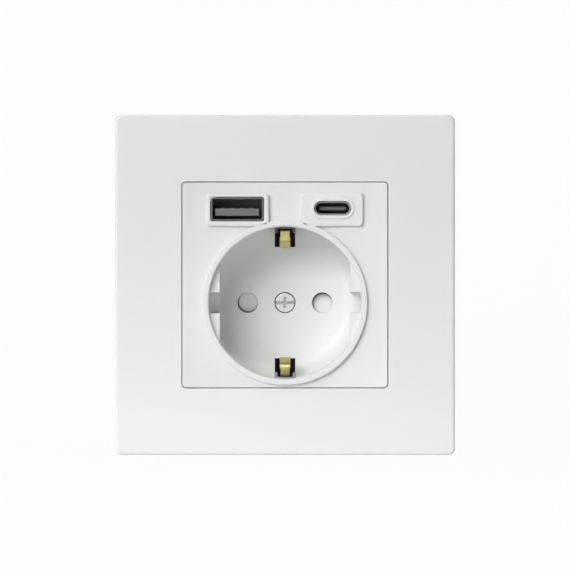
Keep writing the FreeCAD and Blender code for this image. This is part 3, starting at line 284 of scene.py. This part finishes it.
def mouldedPlastic(name, colour, roughness, grain, cloud, edge=0.0,
                   floorLightPaint=None, dish=None, holeShadePaint=None, collar=None):
    material, tree, shader = newMaterial(name)
    coordinates = objectCoordinates(tree)
    drift = noiseNode(tree, coordinates, **plasticGrain["drift"])
    dark = tuple(c * (1 - cloud) for c in colour)
    light = tuple(min(1, c * (1 + cloud)) for c in colour)
    tone = rampNode(tree, drift, zip(plasticGrain["driftStops"], (dark, light)))
    # Painted floor light: the colour gets lighter towards the bottom
    if floorLightPaint:
        tone = paintFloorLightByHeight(tree, coordinates, tone, floorLightPaint)
    # Painted shade: a dark crescent in the pin holes
    if holeShadePaint:
        tone = paintPinHoleShade(tree, coordinates, tone, holeShadePaint)
    tree.links.new(tone, shader.inputs["Base Color"])
    patches = noiseNode(tree, coordinates, **plasticGrain["patches"])
    glossy, dull = (roughness * share for share in plasticGrain["patchGloss"])
    tree.links.new(rangeNode(tree, patches, glossy, dull), shader.inputs["Roughness"])
    fine = noiseNode(tree, coordinates, **plasticGrain["fine"])
    bump = bumpNode(tree, fine, grain, plasticGrain["depth"])
    if edge > 0:
        tree.links.new(softEdges(tree, coordinates, edge, collar), bump.inputs["Normal"])
    normal = bump.outputs["Normal"]
    if dish:
        normal = dishedFloor(tree, coordinates, normal, dish)
    tree.links.new(normal, shader.inputs["Normal"])
    shader.inputs["IOR"].default_value = plasticGrain["ior"]
    return material


# Pressed sheet metal: brushed or tumbled lines along one axis, and a slow change of tarnish
metalBrush = {
    "tarnish": {"size": 3 * mm, "detail": 4, "roughness": 0.6},
    "tarnishStops": (0.35, 0.65),
    "lines": {"size": 0.12 * mm, "detail": 3, "roughness": 0.6},
    "lineGloss": (0.75, 1.3),
    "strength": 0.25,
    "depth": 0.02 * mm,
}


def sheetMetal(name, colour, roughness, stain, brush=(1, 1, 1), edge=0.0, cuts=None):
    material, tree, shader = newMaterial(name)
    coordinates = objectCoordinates(tree)
    tarnish = noiseNode(tree, coordinates, **metalBrush["tarnish"])
    dark = tuple(c * (1 - stain) for c in colour)
    tone = rampNode(tree, tarnish, zip(metalBrush["tarnishStops"], (dark, colour)))
    # Painted shade: the screw's slot is painted darker
    if cuts:
        tone = paintShadeInCuts(tree, coordinates, tone, cuts)
    tree.links.new(tone, shader.inputs["Base Color"])
    mapping = tree.nodes.new("ShaderNodeMapping")
    mapping.inputs["Scale"].default_value = brush
    tree.links.new(coordinates, mapping.inputs["Vector"])
    lines = noiseNode(tree, mapping.outputs["Vector"], **metalBrush["lines"])
    glossy, dull = (roughness * share for share in metalBrush["lineGloss"])
    tree.links.new(rangeNode(tree, lines, glossy, dull), shader.inputs["Roughness"])
    bump = bumpNode(tree, lines, metalBrush["strength"], metalBrush["depth"])
    if edge > 0:
        tree.links.new(softEdges(tree, coordinates, edge), bump.inputs["Normal"])
    tree.links.new(bump.outputs["Normal"], shader.inputs["Normal"])
    shader.inputs["Metallic"].default_value = 1.0
    return material


whiteFace = {"grain": 0.02, "cloud": 0.004, "edge": 0.2 * mm}
plastics = {
    "whitePlastic": dict(colour=(0.80, 0.80, 0.80), roughness=0.07, floorLightPaint=frameFloorLightPaint, **whiteFace),
    "plateWhite": dict(colour=(0.79, 0.79, 0.79), roughness=0.44, floorLightPaint=plateFloorLightPaint,
                       dish=recessFloor, collar=collarEdge, **whiteFace),
    "innerWhite": dict(colour=(0.86, 0.86, 0.86), roughness=0.42, grain=0.15, cloud=0.012,
                       holeShadePaint=pinHoleShadePaint),
    "housingPlastic": dict(colour=(0.035, 0.036, 0.04), roughness=0.45, grain=0.5, cloud=0.15),
    "cagePlastic": dict(colour=(0.62, 0.60, 0.55), roughness=0.45, grain=0.3, cloud=0.03),
    "portGrey": dict(colour=(0.17, 0.17, 0.175), roughness=0.4, grain=0.3, cloud=0.05),
    "innerGrey": dict(colour=(0.13, 0.13, 0.13), roughness=0.4, grain=0.3, cloud=0.05),
    "boardGreen": dict(colour=(0.02, 0.12, 0.05), roughness=0.35, grain=0.3, cloud=0.2),
    "darkCore": dict(colour=(0.03, 0.03, 0.032), roughness=0.6, grain=0.6, cloud=0.2),
    "tapeYellow": dict(colour=(0.72, 0.55, 0.08), roughness=0.35, grain=0.3, cloud=0.1),
    "sleeveBlue": dict(colour=(0.03, 0.05, 0.14), roughness=0.3, grain=0.2, cloud=0.1),
    "boxYellow": dict(colour=(0.65, 0.50, 0.12), roughness=0.4, grain=0.2, cloud=0.05),
    "ceramicWhite": dict(colour=(0.75, 0.74, 0.70), roughness=0.3, grain=0.2, cloud=0.03),
    "chipBlack": dict(colour=(0.02, 0.02, 0.02), roughness=0.5, grain=0.5, cloud=0.1),
}
metals = {
    "screwSteel": dict(colour=(0.80, 0.80, 0.80), roughness=0.5, stain=0.06,
                       edge=0.16 * mm, cuts=screwSlotShadePaint),
    # Painted shade: the top earth guard is the same steel as the bottom one, its colour darkened
    # for shade
    "shadedGuardSteelPaint": dict(colour=(0.20, 0.20, 0.205), roughness=0.4, stain=0.2, brush=(1, 1, 0.15)),
    "zincSteel": dict(colour=(0.62, 0.63, 0.64), roughness=0.32, stain=0.18, brush=(1, 1, 0.15)),
    "springSteel": dict(colour=(0.55, 0.55, 0.56), roughness=0.25, stain=0.1),
    "nickelShell": dict(colour=(0.22, 0.22, 0.225), roughness=0.42, stain=0.08, brush=(1, 0.2, 1)),
    "innerShell": dict(colour=(0.46, 0.46, 0.46), roughness=0.42, stain=0.08, brush=(1, 0.2, 1)),
    "brass": dict(colour=(0.66, 0.61, 0.26), roughness=0.3, stain=0.16, brush=(1, 0.2, 0.2)),
    "contactGold": dict(colour=(0.55, 0.50, 0.40), roughness=0.3, stain=0.08),
}
nodesByFinish = {
    "whitePlastic": ["cover_frame"],
    "plateWhite": ["centre_plate"],
    "innerWhite": ["shutter"],
    "housingPlastic": ["body_housing", "rear_cover"],
    "cagePlastic": ["shutter_cage"],
    "portGrey": ["usb_a_insulator"],
    "innerGrey": ["usb_c_insulator"],
    "boardGreen": ["usb_board", "power_board"],
    "darkCore": ["transformer_core"],
    "tapeYellow": ["transformer_winding"],
    "sleeveBlue": ["input_capacitor", "output_capacitor"],
    "boxYellow": ["safety_capacitor"],
    "ceramicWhite": ["fuse"],
    "chipBlack": ["rectifier", "control_chip"],
    "screwSteel": ["centre_screw"],
    "shadedGuardSteelPaint": ["earth_guard_top"],
    "zincSteel": [
        "earth_guard_bottom", "support_ring", "claw_right", "claw_left", "claw_pin_right",
        "claw_pin_left", "claw_screw_right", "claw_screw_left", "terminal_screw_live",
        "terminal_screw_earth", "terminal_screw_neutral", "ring_screws", "rear_cover_screws",
    ],
    "springSteel": ["shutter_spring"],
    "nickelShell": ["usb_a_shell"],
    "innerShell": ["usb_c_shell"],
    "brass": [
        "earth_strap", "neutral_contact", "live_contact",
        "terminal_live", "terminal_earth", "terminal_neutral",
    ],
    "contactGold": ["usb_a_contacts", "usb_c_contacts", "link_pins"],
}
materials = {name: mouldedPlastic(name, **values) for name, values in plastics.items()}
materials.update({name: sheetMetal(name, **values) for name, values in metals.items()})
finishes = {}
for finish, names in nodesByFinish.items():
    finishes.update({nodeName: materials[finish] for nodeName in names})
for nodeName, node in nodes.items():
    node.data.materials.clear()
    node.data.materials.append(finishes[nodeName])
print("finishes set:", len(materials), "materials")

# The recess as the photograph shows it: the wall a little further in, the blocks beside the flats
# deeper, and the rim's outer round tighter
recess = {
    "near": 0.012 * mm,  # what counts as lying on a surface
    "rimFront": -11 * mm,
    "wall": 19.55 * mm,
    "wallBand": 0.3 * mm,
    "shift": 0.22 * mm,  # the wall stands this much further in than the plain solid's
    "oldRound": 0.35 * mm,
    "newRound": 0.45 * mm,
    "filletInner": 14.35 * mm,
    "filletReach": 5.0 * mm,
    "floor": 6.5 * mm,
    "flat": 16.5 * mm,
    "groove": 2.65 * mm,
    "blockOld": -10.0 * mm,
    "blockNew": -9.2 * mm,
    "rimOuter": 20.8 * mm,
    "rimRound": 0.5 * mm,
    "rimSharper": 0.14,
}
rimInner = recess["rimOuter"] - recess["rimRound"]  # where the rim's outer round begins
rimBack = recess["rimFront"] + recess["rimRound"]


def tightenRim(x, y, z, radius):
    # The outer round keeps its corner and shrinks towards it
    if abs(math.hypot(radius - rimInner, y - rimBack) - recess["rimRound"]) >= recess["near"]:
        return x, y, z
    target = recess["rimOuter"] - (recess["rimOuter"] - radius) * recess["rimSharper"]
    y = recess["rimFront"] + (y - recess["rimFront"]) * recess["rimSharper"]
    return x * target / radius, y, z * target / radius


def narrowWall(x, y, z, radius):
    near, wall, shift = recess["near"], recess["wall"], recess["shift"]
    onFlat = abs(abs(x) - recess["flat"]) < near
    inGroove = abs(abs(z) - recess["groove"]) < near and abs(x) > recess["flat"] - near
    if y < recess["rimFront"] + recess["oldRound"] + near and radius > wall - 2 * near:
        inward = (wall + recess["oldRound"] - radius) / recess["oldRound"]
        deeper = (y - recess["rimFront"]) / recess["oldRound"]
        target = wall - shift + recess["newRound"] - inward * recess["newRound"]
        y = recess["rimFront"] + deeper * recess["newRound"]
    else:
        if abs(y - recess["blockOld"]) < near:
            y = recess["blockNew"]
        share = min(1.0, (radius - recess["filletInner"]) / recess["filletReach"])
        target = radius - shift * share * share * (3 - 2 * share)
    onWall = radius > wall - recess["wallBand"]
    if onFlat and onWall:  # slides along the flat
        z = math.copysign(math.sqrt(max(0.0, target ** 2 - x ** 2)), z)
    elif inGroove and onWall:  # slides along the groove's side
        x = math.copysign(math.sqrt(target ** 2 - z ** 2), x)
    elif onWall or not (onFlat or inGroove):
        x, z = x * target / radius, z * target / radius
    return x, y, z


def reshapeRecess(mesh):
    near = recess["near"]
    for vertex in mesh.vertices:
        x, y, z = vertex.co
        z -= recessZ
        radius = math.hypot(x, z)
        inRecess = recess["filletInner"] < radius < recess["wall"] + recess["oldRound"] + near
        if radius > rimInner - near and y < rimBack + near:
            x, y, z = tightenRim(x, y, z, radius)
        elif inRecess and y < recess["floor"]:
            x, y, z = narrowWall(x, y, z, radius)
        vertex.co = (x, y, z + recessZ)


# The shutter's ramps lie closer behind the pin holes than the plain solid's
ramps = {"front": 7.55 * mm, "back": 9.5 * mm, "flatter": 0.6}


def flattenRamps(mesh):
    for vertex in mesh.vertices:
        if ramps["front"] < vertex.co.y < ramps["back"]:
            vertex.co.y = ramps["front"] + (vertex.co.y - ramps["front"]) * ramps["flatter"]


# The two free ends of the earth strap have a third, nearly upright facet. Each pair is a distance
# from the recess axis and the strip's depth there
tongues = {
    "halfWidth": 1.6 * mm,
    "reach": 0.6 * mm,
    "plain": [(13.95 * mm, 0.6 * mm), (16.2 * mm, -2.4 * mm), (18.6 * mm, -4.23 * mm)],
    "bent": [
        (13.95 * mm, 0.6 * mm), (15.1 * mm, -2.3 * mm),
        (16.5 * mm, -3.5 * mm), (18.6 * mm, -3.65 * mm),
    ],
    "cuts": [14.4 * mm, 14.8 * mm, 15.1 * mm, 15.7 * mm, 16.5 * mm, 17.2 * mm],
}


def depthAt(line, place):
    for (fromPlace, fromDepth), (toPlace, toDepth) in zip(line, line[1:]):
        if place <= toPlace:
            break
    return fromDepth + (toDepth - fromDepth) * (place - fromPlace) / (toPlace - fromPlace)


def bendTongues(mesh):
    work = bmesh.new()
    work.from_mesh(mesh)
    for cut in tongues["cuts"]:
        for side in (-1, 1):
            bmesh.ops.bisect_plane(work, geom=[*work.verts, *work.edges, *work.faces],
                                   plane_co=(0, 0, recessZ + side * cut), plane_no=(0, 0, 1))
    for vertex in work.verts:
        place = abs(vertex.co.z - recessZ)
        if abs(vertex.co.x) < tongues["halfWidth"] and place > tongues["plain"][0][0]:
            plain = depthAt(tongues["plain"], place)
            if vertex.co.y < plain + tongues["reach"]:
                vertex.co.y += depthAt(tongues["bent"], place) - plain
    work.to_mesh(mesh)
    work.free()


# Copies of the nodes that show at the front, merged so that their curved faces shade as one
skins = {  # each node's slot in the record
    "cover_frame": "white_plastic",
    "centre_plate": "white_plastic",
    "shutter": "white_plastic",
    "earth_strap": "brass",
    "centre_screw": "zinc_steel",
    "usb_a_shell": "nickel_shell",
    "usb_c_shell": "nickel_shell",
    "usb_a_insulator": "port_plastic",
    "usb_c_insulator": "port_plastic",
    "body_housing": "inner_plastic",
}
reshapes = {"centre_plate": reshapeRecess, "shutter": flattenRamps, "earth_strap": bendTongues}
smoothing = {"doubles": 0.0005 * mm, "flatAngle": 0.5, "sharpAngle": 35, "weight": 100}


def pickOnly(piece):
    bpy.ops.object.select_all(action="DESELECT")
    piece.select_set(True)
    bpy.context.view_layer.objects.active = piece


def smoothCopy(nodeName):
    node = nodes[nodeName]
    piece = bpy.data.objects.new(nodeName + "_skin", node.data.copy())
    bpy.context.scene.collection.objects.link(piece)
    if nodeName in reshapes:
        reshapes[nodeName](piece.data)
    pickOnly(piece)
    bpy.ops.mesh.customdata_custom_splitnormals_clear()
    bpy.ops.object.mode_set(mode="EDIT")
    bpy.ops.mesh.select_all(action="SELECT")
    bpy.ops.mesh.remove_doubles(threshold=smoothing["doubles"])
    bpy.ops.mesh.dissolve_limited(angle_limit=math.radians(smoothing["flatAngle"]))
    bpy.ops.object.mode_set(mode="OBJECT")
    bpy.ops.object.shade_smooth_by_angle(angle=math.radians(smoothing["sharpAngle"]))
    weighted = piece.modifiers.new("weighted", "WEIGHTED_NORMAL")
    weighted.keep_sharp = True
    weighted.weight = smoothing["weight"]
    bpy.ops.object.modifier_apply(modifier=weighted.name)
    piece.data.materials.clear()
    piece.data.materials.append(finishes[nodeName])
    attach(piece, node["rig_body"])
    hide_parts(nodeName)


for nodeName, slotName in skins.items():
    smoothCopy(nodeName)
print("front pieces smoothed:", len(skins))

# A white sweep: floor in front, then a soft bend up behind the object
sweep = {
    "floor": -43 * mm,
    "front": -960 * mm,
    "rear": 3000 * mm,  # the flat floor goes on under the bend, for the views from behind
    "bendStart": 60 * mm,
    "bendRadius": 160 * mm,
    "height": 900 * mm,
    "halfWidth": 1500 * mm,
    "bendSteps": 24,
    "tone": 0.85,
    "roughness": 0.8,
    "whiteShare": 0.92,  # how much of what the camera or a mirror sees of it is plain white
}


def sweepMaterial():
    material, tree, shader = newMaterial("sweepWhite")
    shader.inputs["Base Color"].default_value = (sweep["tone"], sweep["tone"], sweep["tone"], 1)
    shader.inputs["Roughness"].default_value = sweep["roughness"]
    white = tree.nodes.new("ShaderNodeEmission")
    rays = tree.nodes.new("ShaderNodeLightPath")
    seen = mathNode(tree, "MAXIMUM", rays.outputs["Is Camera Ray"], rays.outputs["Is Glossy Ray"])
    seen = mathNode(tree, "MAXIMUM", seen, rays.outputs["Is Transmission Ray"])
    mixer = tree.nodes.new("ShaderNodeMixShader")
    tree.links.new(mathNode(tree, "MULTIPLY", seen, sweep["whiteShare"]), mixer.inputs["Fac"])
    tree.links.new(shader.outputs["BSDF"], mixer.inputs[1])
    tree.links.new(white.outputs["Emission"], mixer.inputs[2])
    # Seen from behind or from below, it lets the camera look through to the part
    geometry = tree.nodes.new("ShaderNodeNewGeometry")
    clear = tree.nodes.new("ShaderNodeBsdfTransparent")
    oneSided = tree.nodes.new("ShaderNodeMixShader")
    tree.links.new(geometry.outputs["Backfacing"], oneSided.inputs["Fac"])
    tree.links.new(mixer.outputs["Shader"], oneSided.inputs[1])
    tree.links.new(clear.outputs["BSDF"], oneSided.inputs[2])
    tree.links.new(oneSided.outputs["Shader"], tree.nodes["Material Output"].inputs["Surface"])
    return material


def makeSweep():
    points = [(sweep["front"], sweep["floor"]), (sweep["bendStart"], sweep["floor"])]
    for step in range(1, sweep["bendSteps"] + 1):
        turn = math.pi / 2 * step / sweep["bendSteps"]
        points.append((sweep["bendStart"] + sweep["bendRadius"] * math.sin(turn),
                       sweep["floor"] + sweep["bendRadius"] * (1 - math.cos(turn))))
    points.append((points[-1][0], sweep["height"]))
    count = len(points)
    vertices = [(side * sweep["halfWidth"], y, z) for side in (-1, 1) for y, z in points]
    faces = [(i, i + count, i + 1 + count, i + 1) for i in range(count - 1)]
    rearY = (sweep["bendStart"], sweep["rear"])
    vertices += [(side * sweep["halfWidth"], y, sweep["floor"]) for side in (-1, 1) for y in rearY]
    faces.append((2 * count, 2 * count + 2, 2 * count + 3, 2 * count + 1))
    mesh = bpy.data.meshes.new("sweep")
    mesh.from_pydata(vertices, [], faces)
    for face in mesh.polygons:
        face.use_smooth = True
    mesh.update()
    mesh.materials.append(sweepMaterial())
    backdrop = bpy.data.objects.new("sweep", mesh)
    bpy.context.scene.collection.objects.link(backdrop)


makeSweep()
print("sweep made")

# Soft studio lights: two strong ones at the upper left, weak ones around them and overhead
lampDistance = 1500 * mm
lampSize = 500 * mm
lamps = {  # azimuth and elevation in degrees, and watts
    "keyRight": {"azimuth": -20, "elevation": 25, "power": 6.45},
    "keyLeft": {"azimuth": -40, "elevation": 25, "power": 6.34},
    "keyHigh": {"azimuth": -20, "elevation": 45, "power": 0.69},
    "keyLowLeft": {"azimuth": -40, "elevation": 5, "power": 1.37},
    "keyLowRight": {"azimuth": -20, "elevation": 5, "power": 0.91},
    "side": {"azimuth": -60, "elevation": 5, "power": 1.18},
    "topRight": {"azimuth": 30, "elevation": 65, "power": 2.85},
    "top": {"azimuth": 0, "elevation": 65, "power": 2.36},
}
for name, lamp in lamps.items():
    lampData = bpy.data.lights.new(name, "AREA")
    lampData.size = lampSize
    lampData.energy = lamp["power"]
    azimuth, elevation = math.radians(lamp["azimuth"]), math.radians(lamp["elevation"])
    place = lampDistance * Vector((math.cos(elevation) * math.sin(azimuth),
                                   -math.cos(elevation) * math.cos(azimuth), math.sin(elevation)))
    lampObject = bpy.data.objects.new(name, lampData)
    bpy.context.scene.collection.objects.link(lampObject)
    lampObject.location = place
    lampObject.visible_camera = False
    lampObject.rotation_euler = (-place).to_track_quat("-Z", "Y").to_euler()

# The world itself gives no light
world = bpy.data.worlds.new("studio")
bpy.context.scene.world = world
world.use_nodes = True
background = world.node_tree.nodes["Background"]
background.inputs["Color"].default_value = (1, 1, 1, 1)
background.inputs["Strength"].default_value = 0.0
print("lights set")
